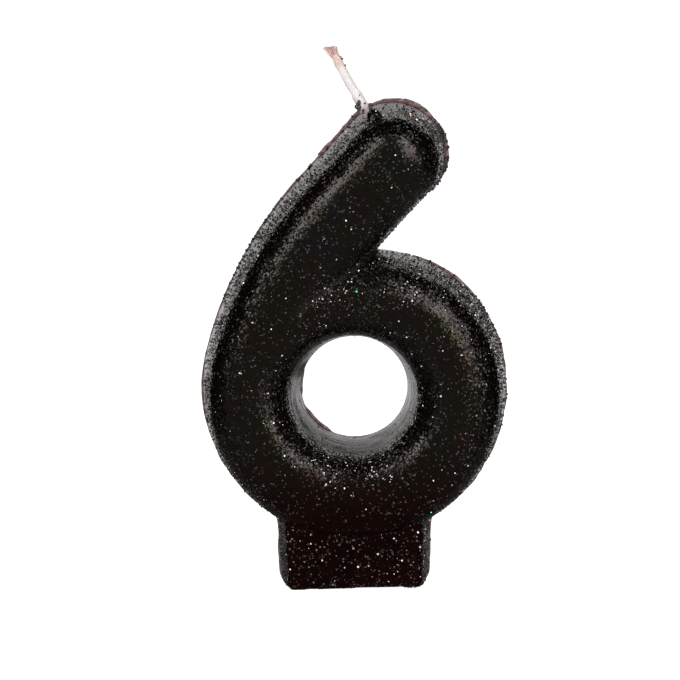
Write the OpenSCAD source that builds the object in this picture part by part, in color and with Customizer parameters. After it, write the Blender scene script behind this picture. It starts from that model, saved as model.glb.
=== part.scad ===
// Birthday candle in the form of the numeral 6.
// A wax casting with a flat back and a puffy front stands on a square foot. A black
// coat covers it all but the underside of the foot, glitter flakes lie on the coat,
// and a twisted cotton wick leans out of the rounded end of the arm.
//
// Frame: X to the right of someone who reads the numeral, Y away from them, Z up.
// The origin is on the table, under the middle of the foot.
// The numeral is drawn lying on its flat back, with its front up, and then stood up.

/* [Bowl] */
// Outer diameter of the bowl at the flat back
bowl_d = 45.6; // [44:0.2:48]
// Width of the eye at the flat back
eye_w = 16; // [14:0.2:17]
// Height of the eye at the flat back
eye_h = 15.2; // [14:0.2:17]
// Height of the bowl's centre above the table
bowl_z = 29.8; // [28:0.2:31]
// How far the bowl's outer edge draws in where the bowl ends behind the arm
bowl_tuck = 2.4; // [1:0.1:3]
// Depth of the bowl from the flat back to its crest
bowl_t = 13; // [12:0.5:15]
// How far the bowl's crest sinks where the bowl ends behind the arm
bowl_sink = 0.55; // [0.5:0.05:1]

/* [Arm] */
// Width of the arm at the flat back
arm_w = 15.9; // [15:0.1:17]
// Radius of the arm's outer curve
arm_curve_r = 60; // [54:1:66]
// Angle round the bowl, up from its right-hand side, where the arm leaves it
join_angle = 166; // [160:1:170]
// Lean of the straight end of the arm from upright, in degrees
arm_lean = 42.4; // [38:0.2:46]
// Length of the straight end, up to the centre of its rounded tip
arm_straight = 12; // [9:0.5:15]
// How much further the arm's crest stands out than the bowl's
arm_rise = 0.6; // [0.2:0.1:1]

/* [Section of the stroke] */
// Height of the drafted side walls above the flat back
wall_h = 8.4; // [7:0.2:9.4]
// How far the side walls draw in over that height
wall_in = 1.2; // [0.9:0.1:1.8]
// Squareness of the shoulders, where 2 is an ellipse
shoulder_n = 2.1; // [2:0.1:2.8]
// Reach of the thin flash round the back edges
flash_w = 0.35; // [0.2:0.05:0.5]
// Thickness of the flash
flash_t = 0.3; // [0.2:0.05:0.4]

/* [Foot] */
// Width of the foot at the flat back, near the table
foot_w = 22.2; // [20:0.2:23]
// How much wider the foot is where it meets the bowl
foot_flare = 0.8; // [0:0.2:1.6]
// Depth of the foot from the flat back
foot_d = 9.6; // [8:0.2:10.4]
// How far each side of the foot draws in towards its front
foot_draft = 1.3; // [0.8:0.1:1.6]
// Radius of the foot's lower corners
foot_corner = 2; // [1.2:0.1:2.4]

/* [Coat] */
// Thickness of the black coat
coat_t = 0.4; // [0.3:0.05:0.5]

/* [Wick] */
// Length of the bare wick above the wax
wick_free = 12.4; // [9:0.1:15]
// Lean of the wick from upright, in degrees
wick_lean = 27.8; // [22:0.2:34]
// Direction from the centre of the arm's tip to the place where the wick comes out
wick_exit_angle = 124; // [122:1:132]
// Radius of the bend where the wick turns to run down the arm
wick_bend_r = 5; // [3:0.5:6]
// How far the wick follows the arm's curve, in degrees
wick_curve = 14; // [6:1:24]
// Radius of one of the three strands
strand_r = 0.28; // [0.2:0.01:0.29]
// Distance from the wick's middle to the middle of a strand
strand_offset = 0.34; // [0.34:0.01:0.36]
// Length of one full twist
twist_pitch = 3.2; // [2.6:0.1:4]
// How far the strands spread apart at the tip
tip_spread = 0.3; // [0:0.05:0.4]

/* [Glitter] */
// Number of large flakes on the front
flake_count = 180; // [60:20:240]
// Width of a flake across its corners
flake_w = 0.42; // [0.3:0.02:0.5]
// Thickness of a flake
flake_t = 0.06; // [0.04:0.01:0.1]
// Seed of the random layout
flake_seed = 6; // [1:1:20]

/* [Hidden] */

BOWL_R = bowl_d / 2;
ARM_HALF = arm_w / 2;
FULL_T = bowl_t + arm_rise;
// The flat back is this far behind the origin, so that the whole depth is centred on it
BACK_Y = FULL_T / 2;
BOWL_C = [0, bowl_z];

// Rings along each stretch of the stroke, and points over each shoulder
BOWL_STEP = 5;
ARM_RINGS = 13;
SHOULDER_STEPS = 8;
TIP_STEPS = 24;
// Where the arm's lower end draws in and stops inside the bowl
LAP_RINGS = 2;
LAP_INSET = 0.17;
// Angles over which the bowl passes behind the arm, and comes back to full size
PASS_START = 380;
PASS_RUN = 90;
PASS_BACK = 50;

// The wall of the coat starts this far in from the back edge and above the flash
WALL_START = [0.08, 0.2];
// How far the foot runs up into the bowl, and the radius of its corners in there
FOOT_LAP = 4.5;
FOOT_LAP_CORNER = 0.5;
// The bare sole under the foot starts this far in from the rounded corners
SOLE_MARGIN = 0.3;
// Thickness of the slices that a hull joins
SLICE = 0.01;

// Centre of the arm's outer curve, on the line through the bowl's centre and the join
CURVE_C = BOWL_C - (arm_curve_r - BOWL_R) * unit(join_angle);
// Direction from that centre to the place where the straight end starts
LEAVE_ANGLE = 180 - arm_lean;
// Directions along the straight end, upwards, and across it, to its outer side
ARM_UP = [sin(arm_lean), cos(arm_lean)];
ARM_OUT = unit(LEAVE_ANGLE);
// Start of the straight end, and centre of its rounded tip, on the arm's middle line
STRAIGHT_C = CURVE_C + (arm_curve_r - ARM_HALF) * ARM_OUT;
TIP_C = STRAIGHT_C + arm_straight * ARM_UP;

// The wick lies half way through the depth of the arm
WICK_H = FULL_T / 2;
// The hole in the casting that it lies in
CHANNEL_R = 0.8;
CHANNEL_STEP = 1;
CHANNEL_SIDES = 16;
// The collar: radius, gap to its pocket, depth in the wax, height above it, and the
// height and the share of the radius at its rounded edge
COLLAR_R = 1.7;
COLLAR_GAP = 0.01;
COLLAR_SINK = 1.3;
COLLAR_H = 1.5;
COLLAR_EDGE = [0.72, 0.5];
// Height that the collar's pocket is cut to, clear of the coat
POCKET_H = 3;
// The primer: outer radius, thickness, and length of its tapered upper end
PRIMER_R = 0.77;
PRIMER_WALL = 0.1;
PRIMER_END = 0.8;
// Length of the bare, frayed tip
TIP_LENGTH = 2.6;
// The strands: spacing of the rings, points on a ring, how much lower each strand
// starts than the one before, and how far they stop short of the hole's end
STRAND_STEP = 0.42;
STRAND_SIDES = 6;
STRAND_STAGGER = 0.35;
STRAND_SHORT = 0.5;
WALL_AT_WICK = wall_in * WICK_H / wall_h;
WICK_UP = unit(90 + wick_lean);
WICK_EXIT = TIP_C + (ARM_HALF - WALL_AT_WICK) * unit(wick_exit_angle);
// The wick's line, carried on into the wax, meets the arm's middle line at this corner
CORNER_DIVE = cross2(TIP_C - WICK_EXIT, ARM_UP) / cross2(-WICK_UP, ARM_UP);
CORNER = WICK_EXIT - CORNER_DIVE * WICK_UP;
// Turn of the wick at that corner, and the length that its bend takes up on each side
WICK_TURN = arm_lean + wick_lean;
BEND_TANGENT = wick_bend_r * tan(WICK_TURN / 2);
BEND_C = CORNER + BEND_TANGENT * WICK_UP + wick_bend_r * unit(180 + wick_lean);
// Radius of the arm's middle line round the centre of its curve
RUN_R = arm_curve_r - ARM_HALF;
// Lengths of the wick's four stretches: straight, bend, straight, curve
LEN_FREE = wick_free + CORNER_DIVE - BEND_TANGENT;
LEN_BEND = wick_bend_r * WICK_TURN * PI / 180;
LEN_DOWN = norm(CORNER - STRAIGHT_C) - BEND_TANGENT;
LEN_CURVE = RUN_R * wick_curve * PI / 180;
WICK_LENGTH = LEN_FREE + LEN_BEND + LEN_DOWN + LEN_CURVE;

function unit(a) = [cos(a), sin(a)];
function cross2(a, b) = a[0] * b[1] - a[1] * b[0];
function smooth(t) = let(k = max(0, min(1, t))) k * k * (3 - 2 * k);
function mix(a, b, t) = a + (b - a) * t;

// ---- The stroke -------------------------------------------------------------------

// One side of the section: points [distance in from the back edge, height above the
// back], from the back edge to the crest. half is half the width at the back, top is the
// height of the crest, and skin is how far the surface lies inside the coat's own.
function edge_points(skin) = skin > 0
    ? [[skin, skin]]
    : [[-flash_w, 0], [-flash_w, flash_t], [WALL_START[0], flash_t + WALL_START[1]]];
function shoulder_point(half, top, skin, a) = [
    wall_in + skin + (half - wall_in - skin) * (1 - pow(cos(a), 2 / shoulder_n)),
    wall_h + (top - skin - wall_h) * pow(sin(a), 2 / shoulder_n)
];
function side_points(half, top, skin) = concat(
    edge_points(skin),
    [for (i = [0:SHOULDER_STEPS]) shoulder_point(half, top, skin, 90 * i / SHOULDER_STEPS)]
);

// How far the bowl has passed behind the arm at angle a, from 0 to 1 and back to 0 at the
// join. Angles run once round from the join, anticlockwise.
function passing(a) =
    smooth((a - PASS_START) / PASS_RUN) * smooth((join_angle + 360 - a) / PASS_BACK);

// A station of a stroke: [middle point, direction to the outer side, half width, crest]
function bowl_inner(a) = 1 / norm([cos(a) / (eye_w / 2), sin(a) / (eye_h / 2)]);
function bowl_station(a) = let(
    ro = BOWL_R - bowl_tuck * passing(a),
    ri = bowl_inner(a)
) [BOWL_C + (ro + ri) / 2 * unit(a), unit(a), (ro - ri) / 2, bowl_t - bowl_sink * passing(a)];
function arm_station(t) = let(
    a = mix(join_angle, LEAVE_ANGLE, t),
    half = mix((BOWL_R - bowl_inner(join_angle)) / 2, ARM_HALF, smooth(t))
) [CURVE_C + (arm_curve_r - half) * unit(a), unit(a), half, bowl_t + arm_rise * smooth(t)];
function straight_station(t) = [
    STRAIGHT_C + t * arm_straight * ARM_UP, ARM_OUT, ARM_HALF, FULL_T
];
// A station drawn in by d all round
function drawn_in(station, d) = [station[0], station[1], station[2] - d, station[3] - d];

// The closed loop of points round one station's section
function section(station, skin) = let(
    side = side_points(station[2], station[3], skin),
    n = len(side),
    place = function(u, h) [each station[0] + u * station[1], h]
) concat(
    [for (i = [0:n - 1]) place(station[2] - side[i][0], side[i][1])],
    [for (i = [n - 2:-1:0]) place(side[i][0] - station[2], side[i][1])]
);

// Faces of the skin through loops of n points each, from the first loop to the last
function skin_faces(n, last) = [
    for (k = [0:last - 1], i = [0:n - 1])
        let(a = k * n + i, b = k * n + (i + 1) % n)
            each [[a, b, b + n], [a, b + n, a + n]]
];
function end_face(n, last) = [for (i = [0:n - 1]) last * n + i];

// A solid through a list of closed loops that have the same number of points
module swept(loops) {
    n = len(loops[0]);
    last = len(loops) - 1;
    start_face = [for (i = [n - 1:-1:0]) i];
    polyhedron(
        points = [for (loop = loops) each loop],
        faces = concat(skin_faces(n, last), [start_face, end_face(n, last)])
    );
}

// The same, with a round end: half of the first loop, turned about its crest by half a
// turn round the point centre. direction is the first loop's outer side, in degrees.
module swept_from_round_end(loops, centre, direction, half, top, skin) {
    n = len(loops[0]);
    last = len(loops) - 1;
    side = side_points(half, top, skin);
    crest = len(side) - 1;
    fan_points = [
        for (j = [1:TIP_STEPS - 1], i = [0:crest - 1])
            [each centre + (half - side[i][0]) * unit(direction - 180 * j / TIP_STEPS), side[i][1]]
    ];
    at = function(j, i)
        i == crest ? crest
        : j == 0 ? i
        : j == TIP_STEPS ? n - 1 - i
        : (last + 1) * n + (j - 1) * crest + i;
    fan_faces = [
        for (j = [0:TIP_STEPS - 1], i = [0:crest - 1])
            let(a = at(j, i), b = at(j + 1, i), c = at(j + 1, i + 1), d = at(j, i + 1))
                each i == crest - 1 ? [[a, b, crest]] : [[a, b, c], [a, c, d]]
    ];
    back_face = [for (j = [TIP_STEPS:-1:0]) at(j, 0)];
    polyhedron(
        points = concat([for (loop = loops) each loop], fan_points),
        faces = concat(skin_faces(n, last), fan_faces, [back_face, end_face(n, last)])
    );
}

// The arm, from its round end to the join, where it draws in and ends inside the bowl
module arm_stroke(skin) {
    stations = concat(
        [straight_station(1)],
        [
            for (i = [ARM_RINGS:-1:0])
                let(t = i / ARM_RINGS)
                    drawn_in(arm_station(t), LAP_INSET * smooth(1 - 3 * t))
        ],
        [
            for (i = [1:LAP_RINGS])
                drawn_in(bowl_station(join_angle + i * BOWL_STEP), LAP_INSET * (1 + 2 * i))
        ]
    );
    swept_from_round_end(
        [for (s = stations) section(s, skin)], TIP_C, LEAVE_ANGLE, ARM_HALF, FULL_T, skin
    );
}

// The bowl, a closed ring that passes behind the arm
module bowl_ring(skin) {
    loops = [
        for (a = [join_angle:BOWL_STEP:join_angle + 360 - BOWL_STEP])
            section(bowl_station(a), skin)
    ];
    points = [for (loop = loops) each loop];
    total = len(points);
    polyhedron(
        points = points,
        faces = [
            for (face = skin_faces(len(loops[0]), len(loops)))
                [for (i = face) i % total]
        ]
    );
}

// The foot, wider at the back than at the front, with rounded lower corners. Inside the
// coat it is smaller all round, but a flat sole runs down to the table and below it.
module foot(skin, below) {
    levels = [[skin, foot_w / 2], [foot_d - skin, foot_w / 2 - foot_draft]];
    top = bowl_z - BOWL_R + FOOT_LAP;
    hull()
        for (level = levels, side = [-1, 1]) {
            translate([side * (level[1] - foot_corner), foot_corner, level[0]])
                cylinder(r = foot_corner - skin, h = SLICE, $fn = 28);
            translate([side * (level[1] + foot_flare / 2 - FOOT_LAP_CORNER - skin), top, level[0]])
                cylinder(r = FOOT_LAP_CORNER, h = SLICE, $fn = 8);
        }
    if (skin > 0)
        hull()
            for (level = levels)
                translate([SOLE_MARGIN + foot_corner - level[1], -below, level[0]])
                    cube([2 * (level[1] - foot_corner - SOLE_MARGIN), foot_corner + below, SLICE]);
}

// The whole numeral, lying on its back. skin is the distance inside the coat's surface,
// and below is how far the sole runs on past the table, to cut an opening there.
module numeral(skin, below) {
    arm_stroke(skin);
    bowl_ring(skin);
    foot(skin, below);
}

module stand() {
    translate([0, BACK_Y, 0])
        rotate([90, 0, 0])
            children();
}

// ---- The wick's way through the wax ---------------------------------------------------

// A point on the wick's middle line and the direction of travel, s from its tip
function wick_at(s) =
    s < LEN_FREE ? [WICK_EXIT + (wick_free - s) * WICK_UP, 270 + wick_lean]
    : s < LEN_FREE + LEN_BEND ? let(turn = (s - LEN_FREE) / wick_bend_r * 180 / PI)
        [BEND_C + wick_bend_r * unit(wick_lean - turn), 270 + wick_lean - turn]
    : s < LEN_FREE + LEN_BEND + LEN_DOWN ? let(d = s - LEN_FREE - LEN_BEND)
        [CORNER - (BEND_TANGENT + d) * ARM_UP, 270 - arm_lean]
    : let(a = (s - WICK_LENGTH + LEN_CURVE) / RUN_R * 180 / PI)
        [CURVE_C + RUN_R * unit(LEAVE_ANGLE + a), 270 - arm_lean + a];

// A closed loop of points round the wick's middle line: a circle of radius r whose
// middle lies at [across, up] from that line
function loop_at(s, across, up, r, sides) = let(at = wick_at(s), over = unit(at[1] + 90)) [
    for (i = [sides - 1:-1:0])
        [each at[0] + (across + r * cos(360 * i / sides)) * over,
         WICK_H + up + r * sin(360 * i / sides)]
];

// The hole that the wick lies in, from the collar's pocket to the wick's end
module wick_channel() {
    start = wick_free;
    rings = ceil((WICK_LENGTH - start) / CHANNEL_STEP);
    swept([
        for (k = [0:rings])
            loop_at(mix(start, WICK_LENGTH, k / rings), 0, 0, CHANNEL_R, CHANNEL_SIDES)
    ]);
}

// Places children() with their Z along the bare wick, from the place where it comes out
module on_wick() {
    translate([each WICK_EXIT, WICK_H])
        rotate([0, 0, wick_lean])
            rotate([-90, 0, 0])
                children();
}

// The round pocket at the wick's exit, which the collar fills
module collar_pocket() {
    on_wick()
        translate([0, 0, -COLLAR_SINK])
            cylinder(r = COLLAR_R, h = POCKET_H + COLLAR_SINK, $fn = 48);
}

// ---- The pieces ------------------------------------------------------------------------

// The wax casting, inside the coat, brought to its full depth
module wax_core() {
    color([0.24, 0.17, 0.17])
        stand()
            resize([0, 0, FULL_T - 2 * coat_t])
                difference() {
                    numeral(coat_t, 0);
                    wick_channel();
                    collar_pocket();
                }
}

// The black coat, a closed skin round the casting that is open under the foot
module black_coat() {
    color([0.06, 0.055, 0.06])
        stand()
            resize([0, 0, FULL_T])
                difference() {
                    numeral(0, 0);
                    numeral(coat_t, 1);
                    collar_pocket();
                }
}

// One of the three strands, twisted round the wick's middle line
module wick_strand(index) {
    rings = ceil(WICK_LENGTH / STRAND_STEP);
    color([0.93, 0.90, 0.87])
        stand()
            swept([
                for (k = [0:rings])
                    let(
                        s = mix(STRAND_STAGGER * index, WICK_LENGTH - STRAND_SHORT, k / rings),
                        spread = strand_offset + tip_spread * (1 - smooth(s / TIP_LENGTH)),
                        turn = 360 * s / twist_pitch + 120 * index
                    )
                    loop_at(s, spread * cos(turn), spread * sin(turn), strand_r, STRAND_SIDES)
            ]);
}

// The clear wax that primes the bare wick, from the collar to below its tip
module wick_primer() {
    color([0.92, 0.88, 0.86])
        stand()
            on_wick()
                rotate_extrude($fn = 48)
                    polygon([
                        [PRIMER_R - PRIMER_WALL, COLLAR_H],
                        [PRIMER_R, COLLAR_H],
                        [PRIMER_R, wick_free - TIP_LENGTH - PRIMER_END],
                        [PRIMER_R - PRIMER_WALL, wick_free - TIP_LENGTH]
                    ]);
}

// The shape of the wax collar round the foot of the wick, without its hole
module collar_shape() {
    rotate_extrude($fn = 48)
        polygon([
            [0, -COLLAR_SINK],
            [COLLAR_R - COLLAR_GAP, -COLLAR_SINK],
            [COLLAR_R - COLLAR_GAP, 0],
            [COLLAR_R * COLLAR_EDGE[0], COLLAR_EDGE[1]],
            [PRIMER_R + PRIMER_WALL, COLLAR_H],
            [0, COLLAR_H]
        ]);
}
module wick_collar() {
    color([0.80, 0.70, 0.68])
        stand()
            on_wick()
                difference() {
                    collar_shape();
                    translate([0, 0, -2 * COLLAR_SINK])
                        cylinder(r = CHANNEL_R, h = 4 * COLLAR_H + 2 * COLLAR_SINK, $fn = 48);
                }
}

// Drops of coat wax on the wick: [distance up it, angle round it, radius]. They stand out
// of the surface under them, which is the collar's slope low down and the primer above it.
SPECK_SINK = 0.3;
SLOPE_R = COLLAR_R * 0.62;
SPECKS = [
    [1.0, 60, 0.34], [0.9, 200, 0.30], [2.3, 95, 0.22],
    [3.4, 130, 0.16], [8.6, 70, 0.20], [7.3, 250, 0.15]
];
module wax_specks() {
    color([0.07, 0.05, 0.05])
        stand()
            on_wick()
                difference() {
                    for (speck = SPECKS) {
                        reach = speck[0] < COLLAR_H ? SLOPE_R : PRIMER_R;
                        rotate([0, 0, speck[1]])
                            translate([reach + speck[2] * SPECK_SINK, 0, speck[0]])
                                sphere(speck[2], $fn = 24);
                    }
                    collar_shape();
                    cylinder(r = PRIMER_R, h = wick_free, $fn = 48);
                }
}

// One six-sided flake on the coat, at angle a of the shoulder, facing out of it
module flake(station, side, a, spin) {
    near = shoulder_point(station[2], station[3], 0, a - 2);
    at = shoulder_point(station[2], station[3], 0, a);
    far = shoulder_point(station[2], station[3], 0, a + 2);
    tilt = atan2(far[1] - near[1], far[0] - near[0]);
    u = side * (station[2] - at[0]);
    outward = atan2(side * station[1][1], side * station[1][0]);
    translate([each station[0] + u * station[1], at[1]])
        rotate([0, 0, outward])
            rotate([0, tilt, 0])
                translate([0, 0, 0.01])
                    rotate([0, 0, spin])
                        cylinder(r = flake_w / 2, h = flake_t, $fn = 6);
}

// Large flakes, spread evenly along the straight arm and round the open part of the bowl
// and at random across it
module glitter_flakes() {
    on_arm = floor(flake_count / 4);
    on_bowl = flake_count - on_arm;
    angles = rands(14, 84, flake_count, flake_seed);
    spins = rands(0, 60, flake_count, flake_seed + 1);
    color([0.80, 0.78, 0.76])
        stand()
            for (i = [0:flake_count - 1]) {
                side = i % 2 == 0 ? 1 : -1;
                station = i < on_arm
                    ? straight_station((i + 0.5) / on_arm)
                    : bowl_station(mix(join_angle + 10, 425, (i - on_arm + 0.5) / on_bowl));
                flake(station, side, angles[i], spins[i]);
            }
}

wax_core();
black_coat();
glitter_flakes();
wick_strand(0);  // wick_strand_1
wick_strand(1);  // wick_strand_2
wick_strand(2);  // wick_strand_3
wick_primer();
wick_collar();
wax_specks();
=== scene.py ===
"""A number birthday candle: a puffy black glitter-wax six on a square foot, with its wick."""

import math

import bpy
import numpy as np
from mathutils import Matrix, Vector


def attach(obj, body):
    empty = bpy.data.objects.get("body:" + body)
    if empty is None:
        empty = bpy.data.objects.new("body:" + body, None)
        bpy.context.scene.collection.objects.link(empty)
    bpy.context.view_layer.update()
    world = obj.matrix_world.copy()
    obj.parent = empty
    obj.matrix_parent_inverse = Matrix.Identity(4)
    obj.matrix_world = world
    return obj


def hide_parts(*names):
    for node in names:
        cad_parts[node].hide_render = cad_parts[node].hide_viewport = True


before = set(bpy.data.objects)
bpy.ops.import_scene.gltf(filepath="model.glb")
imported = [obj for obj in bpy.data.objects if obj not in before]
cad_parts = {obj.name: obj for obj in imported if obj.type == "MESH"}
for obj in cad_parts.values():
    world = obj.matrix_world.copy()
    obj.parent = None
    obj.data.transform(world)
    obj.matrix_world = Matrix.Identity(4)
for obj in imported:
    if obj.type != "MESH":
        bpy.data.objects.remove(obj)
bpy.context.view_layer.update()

# ---- Sizes in millimetres, as the CAD model has them --------------------------------------------
# The numeral is worked out lying on its flat back: x to the right, z up the numeral, and
# h the height above the back. In the row frame, y is BACK_Y - h.
BOWL_R = 22.8
BOWL_Z = 29.8
EYE_HALF_W, EYE_HALF_H = 8.0, 7.6
BOWL_T = 13.0
ARM_RISE = 0.6
ARM_HALF = 7.95
ARM_CURVE_R = 60.0
ARM_STRAIGHT = 12.0
ARM_LEAN = 42.4
JOIN_ANGLE = 166.0
WALL_H, WALL_IN = 8.4, 1.2
SHOULDER_N = 2.1
FOOT_HALF_W, FOOT_FLARE, FOOT_D, FOOT_DRAFT, FOOT_CORNER = 11.1, 0.4, 9.6, 1.3, 2.0
FOOT_TOP = 11.5
SOLE_HALF_W, SOLE_D = 8.4, 8.8
TUCK, SINK = 2.4, 0.55
PASS_START, PASS_RUN, PASS_BACK = 380.0, 90.0, 50.0
WICK_LEAN, WICK_FREE, EXIT_ANGLE = 27.8, 12.4, 124.0
FULL_T = BOWL_T + ARM_RISE
BACK_Y = FULL_T / 2
MM = 0.001
# From here to the bare wax, details that the CAD model doesn't have. The arm's inner side is
# slimmer, and the bowl's outer shoulder sinks further where it passes under the arm.
SLIM = 0.22
SINK_MORE = 1.1
# How far the shoulder laps over the wall, and how late the wall draws in, outside and in the eye.
OUTER_LAP, OUTER_CURL = 0.4, 1.6
EYE_LAP, EYE_CURL = 2.0, 1.35
# The foot's front: its lower corners, its worn edge and how far the sole's edge is lifted.
FRONT_CORNER = 0.8
LEAST_WORN, WORN_PER_MM, LIFT_PER_MM = 0.7, 0.03, 0.025
# How far the foot runs up into the bowl, and how widely the arm, foot and bead blend in.
FOOT_ROOT = 3.0
CREASE, FOOT_BLEND, BEAD_BLEND = 0.3, 0.5, 0.9
# The back's hollow: its depth, where it starts inside the edge, its run, and the edge's blend.
BACK_HOLLOW, HOLLOW_START, HOLLOW_RUN, BACK_EDGE = 0.22, 1.2, 3.5, 0.25
BEAD_X, BEAD_Z, BEAD_H, BEAD_R = 2.9, 71.0, 8.2, 1.05
# The bare wax: its depth under the black coat, where it ends, and its block at the sole.
CORE_DEPTH, CORE_BACK, CORE_LOW, CORE_SOLE_TOP = 0.6, 0.7, 1.2, 2.0
SOLE_BACK, SOLE_TOP, SOLE_PLAY, SOLE_RECESS = 0.5, 0.7, 0.06, 0.05


def unit(a):
    """The direction at angle a, in degrees, up from +x."""
    return np.array([math.cos(math.radians(a)), math.sin(math.radians(a))])


BOWL_C = np.array([0.0, BOWL_Z])
CURVE_C = BOWL_C - (ARM_CURVE_R - BOWL_R) * unit(JOIN_ANGLE)
LEAVE_ANGLE = 180 - ARM_LEAN
ARM_OUT = unit(LEAVE_ANGLE)
ARM_UP = unit(90 - ARM_LEAN)
STRAIGHT_C = CURVE_C + (ARM_CURVE_R - ARM_HALF) * ARM_OUT
TIP_C = STRAIGHT_C + ARM_STRAIGHT * ARM_UP
WICK_H = FULL_T / 2
WICK_UP, WICK_ACROSS = unit(90 + WICK_LEAN), unit(WICK_LEAN)
WICK_EXIT = TIP_C + (ARM_HALF - WALL_IN * WICK_H / WALL_H) * unit(EXIT_ANGLE)

rng = np.random.default_rng(6)


# ---- Small maths helpers ------------------------------------------------------------------------
def smooth(t):
    """0 up to t = 0 and 1 from t = 1, with an even rise between them."""
    k = np.clip(t, 0, 1)
    return k * k * (3 - 2 * k)


def mix(a, b, t):
    """a where t is 0, and b where it is 1."""
    return a + (b - a) * t


def soft_min(a, b, k):
    """The lower of two fields, blended where they are within k of each other."""
    k = np.maximum(k, 1e-6)
    t = np.clip(0.5 + 0.5 * (b - a) / k, 0, 1)
    return mix(b, a, t) - k * t * (1 - t)


def soft_max(a, b, k):
    """The higher of two fields, blended in the same way."""
    return -soft_min(-a, -b, k)


LATTICE = rng.random((32, 32, 32))


def value_noise(points, scale, shift=0.0):
    """Smooth noise from -1 to 1 whose lumps are about scale apart."""
    p = points / scale + shift
    cell = np.floor(p).astype(int)
    f = smooth(p - cell)
    total = np.zeros(len(points))
    for corner in range(8):
        bits = np.array([corner & 1, corner >> 1 & 1, corner >> 2 & 1])
        weight = np.prod(np.where(bits, f, 1 - f), axis=1)
        at = (cell + bits) % len(LATTICE)
        total += weight * LATTICE[at[:, 0], at[:, 1], at[:, 2]]
    return 2 * total - 1


# ---- The numeral as a field: its value is below 0 inside the wax --------------------------------
def draft(facing_up):
    """How far an outer wall draws in. Walls that face up lean back more than the others."""
    return np.interp(facing_up, [-1, -0.3, 0, 0.5, 1], [0.75, 0.80, 0.90, 1.20, 1.60])


def eye_draft(up, right):
    """How far the eye's wall draws in: most at the bottom of the eye, least at its top.

    up and right are the parts of the direction from the middle of the eye.
    """
    return np.interp(up, [-1, 0, 1], [2.0, 1.6, 0.9]) - 0.15 * right


def section_field(d, half, crest, h, wall_in, lap=OUTER_LAP, curl=OUTER_CURL):
    """One stroke's section: d from its middle line, h above the back.

    The shoulder's curve starts lap below the top of the wall, so that they meet smoothly.
    The more the curl, the later the wall starts to draw in.
    """
    lean = np.clip(h, 0, WALL_H) / WALL_H
    wall = (d - half + wall_in * lean**curl) * math.cos(WALL_IN / WALL_H)
    high = crest - WALL_H + lap
    start = (1 - (lap / high) ** SHOULDER_N) ** (1 / SHOULDER_N)
    across = np.maximum(half - wall_in, 0.1) / start
    u, v = d / across, np.maximum(h - WALL_H + lap, 0) / high
    size = (u**SHOULDER_N + v**SHOULDER_N) ** (1 / SHOULDER_N) + 1e-9
    slope = np.hypot((u / size) ** (SHOULDER_N - 1) / across, (v / size) ** (SHOULDER_N - 1) / high)
    return np.where(h < WALL_H, wall, (size - 1) / (slope + 1e-9))


def bowl_field(x, z, h):
    """The bowl with its open eye. It draws in and sinks where it passes under the arm."""
    dx, dz = x - BOWL_C[0], z - BOWL_C[1]
    turn = np.arctan2(dz, dx)
    a = (np.degrees(turn) - JOIN_ANGLE) % 360 + JOIN_ANGLE
    passing = smooth((a - PASS_START) / PASS_RUN) * smooth((JOIN_ANGLE + 360 - a) / PASS_BACK)
    outer = BOWL_R - TUCK * passing
    inner = 1 / np.hypot(np.cos(turn) / EYE_HALF_W, np.sin(turn) / EYE_HALF_H)
    out = np.hypot(dx, dz) - (outer + inner) / 2
    wall_in = np.where(out > 0, draft(np.sin(turn)), eye_draft(np.sin(turn), np.cos(turn)))
    lap = np.where(out > 0, OUTER_LAP, EYE_LAP)
    curl = np.where(out > 0, OUTER_CURL, EYE_CURL)
    crest = BOWL_T - (SINK + SINK_MORE * smooth((out - 0.5) / 4)) * passing
    return section_field(np.abs(out), (outer - inner) / 2, crest, h, wall_in, lap, curl)


def arm_field(x, z, h):
    """The arm: a curve that grows out of the bowl, then a straight stroke with a round end."""
    dx, dz = x - CURVE_C[0], z - CURVE_C[1]
    a = np.degrees(np.arctan2(dz, dx)) % 360
    t = smooth(np.clip((JOIN_ANGLE - a) / (JOIN_ANGLE - LEAVE_ANGLE), 0, 1))
    ring = 1 / math.hypot(*(unit(JOIN_ANGLE) / [EYE_HALF_W, EYE_HALF_H]))
    half = mix((BOWL_R - ring) / 2, ARM_HALF, t)
    out = np.hypot(dx, dz) - ARM_CURVE_R + half
    out = out - SLIM * (out < 0)
    wall_in = draft(np.sign(out) * dz / np.hypot(dx, dz))
    # the inner side starts as the eye's wall and turns into the arm's
    like_eye = (1 - t) * (out < 0)
    wall_in = mix(wall_in, eye_draft(*unit(JOIN_ANGLE)[::-1]), like_eye)
    lap = mix(OUTER_LAP, EYE_LAP, like_eye)
    curl = mix(OUTER_CURL, EYE_CURL, like_eye)
    curve = section_field(np.abs(out), half, BOWL_T + ARM_RISE * t, h, wall_in, lap, curl)
    below_join = (a - JOIN_ANGLE) * math.radians(1) * ARM_CURVE_R
    curve = np.maximum(curve, below_join)
    sx, sz = x - STRAIGHT_C[0], z - STRAIGHT_C[1]
    along = sx * ARM_UP[0] + sz * ARM_UP[1]
    across = sx * ARM_OUT[0] + sz * ARM_OUT[1]
    across = across - SLIM * (across < 0) * (along < ARM_STRAIGHT)
    beyond = np.maximum(along - ARM_STRAIGHT, 0)
    d = np.hypot(across, beyond)
    facing_up = (across * ARM_OUT[1] + beyond * ARM_UP[1]) / (d + 1e-9)
    straight = section_field(d, ARM_HALF, FULL_T, h, draft(facing_up))
    return np.where(along > 0, straight, curve)


def rounded(u, v, r):
    """The two distances u and v outside two faces, joined by a rounded edge of radius r."""
    outside = np.hypot(np.maximum(u + r, 0), np.maximum(v + r, 0))
    return outside + np.minimum(np.maximum(u, v) + r, 0) - r


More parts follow.
